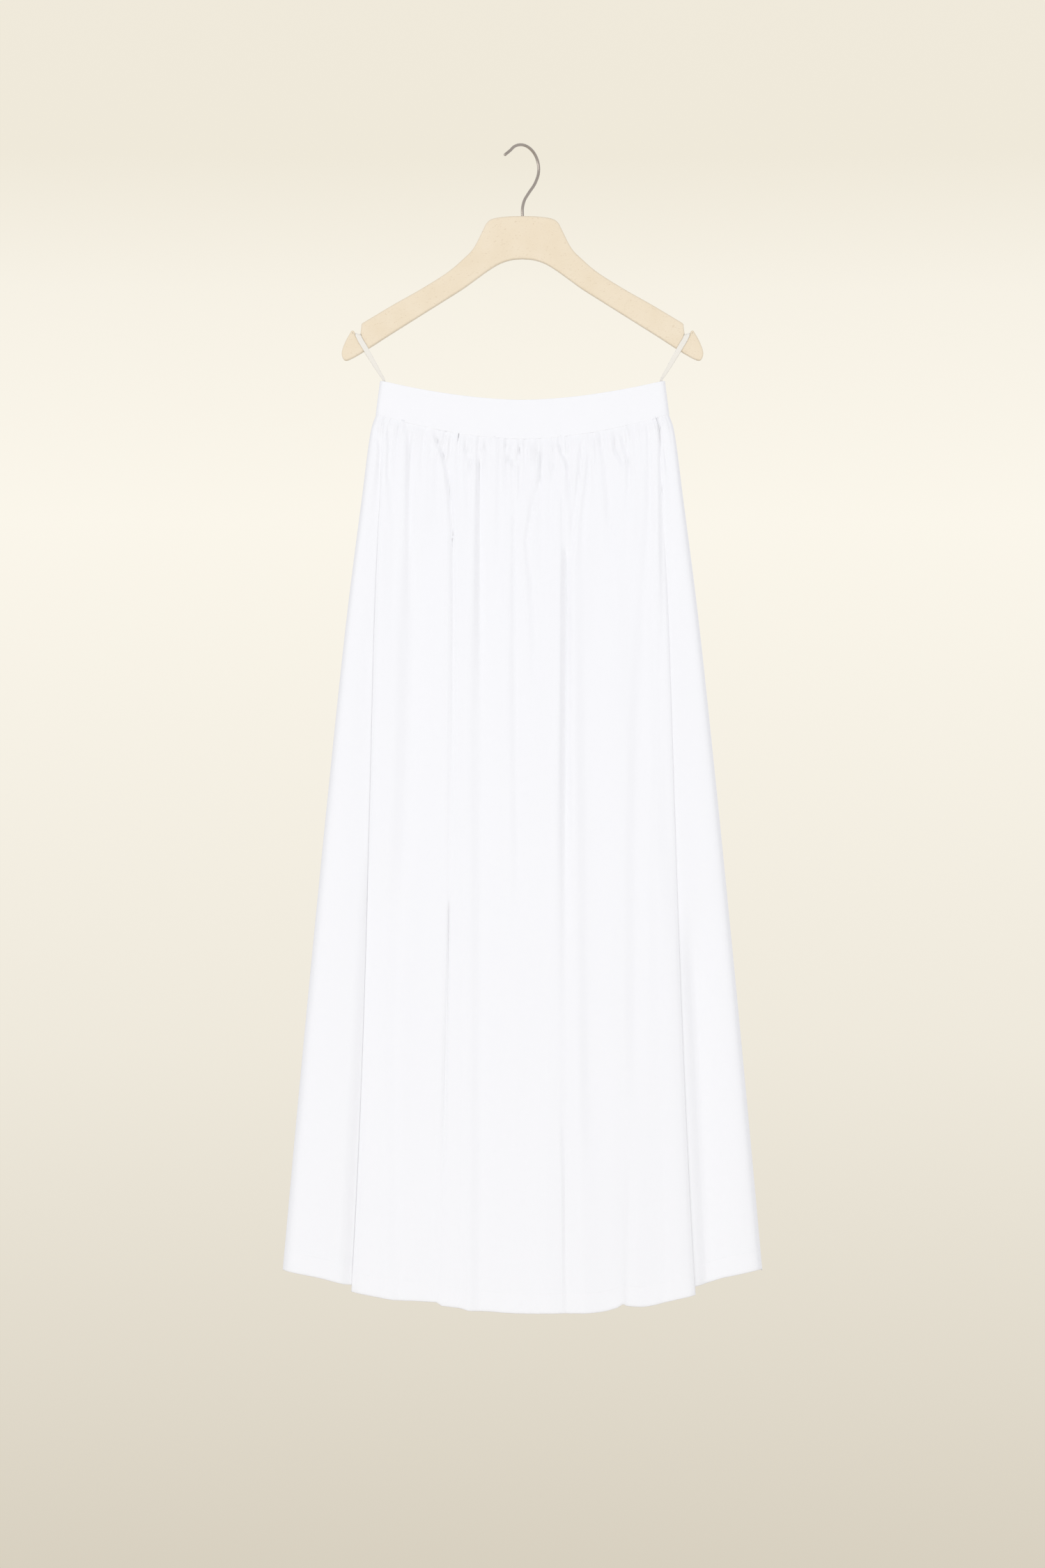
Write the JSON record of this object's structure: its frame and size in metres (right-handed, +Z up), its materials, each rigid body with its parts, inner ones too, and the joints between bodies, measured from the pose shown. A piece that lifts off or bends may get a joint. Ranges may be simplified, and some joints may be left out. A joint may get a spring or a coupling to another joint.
{
  "type": "maxi skirt on a hanger",
  "caption": "Long gathered skirt with a smooth waistband and an elastic back, hung by ribbon loops from a notched moulded hanger with a wire hook.",
  "frame": {"origin": "underside of the top of the hanger's hook, where a rail carries everything", "axes": "+Z up, +X to the viewer's right, the front of the skirt faces -Y"},
  "size_m": [0.5578, 0.157, 1.3488],
  "materials": {
    "cloth": "matte plain cotton weave",
    "ribbon": "soft satin ribbon",
    "hanger": "moulded fibre with fine specks",
    "steel": "brushed wire"
  },
  "bodies": {
    "root": {"skirt_front": "cloth", "skirt_back": "cloth", "waistband_front": "cloth", "waistband_back": "cloth", "loop_left": "ribbon", "loop_right": "ribbon", "hanger_body": "hanger", "hanger_hook": "steel"}
  },
  "joints": []
}
